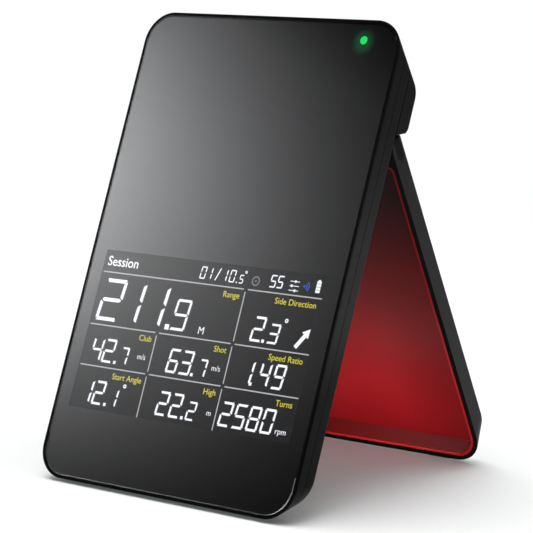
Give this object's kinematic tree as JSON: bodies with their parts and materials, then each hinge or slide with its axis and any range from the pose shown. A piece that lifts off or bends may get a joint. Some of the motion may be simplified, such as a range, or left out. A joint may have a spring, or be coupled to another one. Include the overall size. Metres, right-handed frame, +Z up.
{
  "type": "launch monitor",
  "caption": "Golf launch monitor: a glass-fronted display slab that leans back on a folding, full-width rear stand with a red tray liner, and push keys on its rear hump.",
  "frame": {"origin": "on the floor, at the centre of the object's footprint box, with the stand open", "axes": "+Z up; -Y towards the user, out of the display's side; +X to the right seen from the front"},
  "size_m": [0.1124, 0.1166, 0.16],
  "materials": {
    "cover_glass": "polished, tinted",
    "black_print": "matt print",
    "black_foam": "foam tape",
    "gloss_black": "high gloss",
    "lcd_glass": "dark panel, lit segments",
    "diffuser_white": "satin film",
    "steel": "rolled",
    "black_steel": "black zinc",
    "flex_amber": "polyimide film",
    "housing_black": "fine satin texture",
    "board_green": "solder mask",
    "chip_black": "moulded",
    "copper": "plated copper",
    "battery_pouch": "foil pouch",
    "lead_red": "wire insulation",
    "clear_rod": "clear, lit green",
    "led_green": "lit",
    "foot_rubber": "matt",
    "key_black": "satin",
    "stand_black": "satin",
    "liner_red": "satin red",
    "hinge_dark": "fine matt"
  },
  "bodies": {
    "monitor": {"front_glass": "cover_glass", "mask_film": "black_print", "glass_adhesive": "black_foam", "display_bezel": "gloss_black", "lcd_panel": "lcd_glass", "lcd_backlight": "diffuser_white", "lcd_tray": "steel", "display_flex": "flex_amber", "front_housing": "housing_black", "rear_housing": "housing_black", "hump_cover": "housing_black", "housing_screws": "black_steel", "cover_screws": "steel", "main_board": "board_green", "main_chips": "chip_black", "radar_board": "board_green", "patch_antennas": "copper", "radar_shield": "steel", "battery_cell": "battery_pouch", "battery_tape": "black_foam", "battery_leads": "lead_red", "speaker": "chip_black", "speaker_gasket": "black_foam", "light_pipe": "clear_rod", "status_led": "led_green", "led_board": "board_green", "rear_board": "board_green", "tactile_switches": "steel", "usb_connector": "steel", "body_feet": "foot_rubber"},
    "stand": {"stand_shell": "stand_black", "stand_liner": "liner_red", "hinge_pins": "steel", "friction_washers": "steel", "hinge_caps": "hinge_dark", "stand_feet": "foot_rubber"},
    "power_button": {"power_button": "key_black"},
    "mode_button": {"mode_button": "key_black"},
    "up_button": {"up_button": "key_black"},
    "down_button": {"down_button": "key_black"}
  },
  "joints": [
    {"name": "stand_hinge", "type": "hinge", "parent": "monitor", "child": "stand", "pos_m": [0, 0.00115, 0.11766], "axis": [1, 0, 0], "range_deg": [-47.95, 0]},
    {"name": "power_button_press", "type": "slide", "parent": "monitor", "child": "power_button", "axis": [0, -0.9291, 0.3697], "range_m": [0, 0.0005], "stiffness_N_per_m": 1600, "springref_m": -0.0001},
    {"name": "mode_button_press", "type": "slide", "parent": "monitor", "child": "mode_button", "axis": [0, -0.9291, 0.3697], "range_m": [0, 0.0005], "stiffness_N_per_m": 1600, "springref_m": -0.0001},
    {"name": "up_button_press", "type": "slide", "parent": "monitor", "child": "up_button", "axis": [0, -0.9291, 0.3697], "range_m": [0, 0.0005], "stiffness_N_per_m": 1600, "springref_m": -0.0001},
    {"name": "down_button_press", "type": "slide", "parent": "monitor", "child": "down_button", "axis": [0, -0.9291, 0.3697], "range_m": [0, 0.0005], "stiffness_N_per_m": 1600, "springref_m": -0.0001}
  ]
}
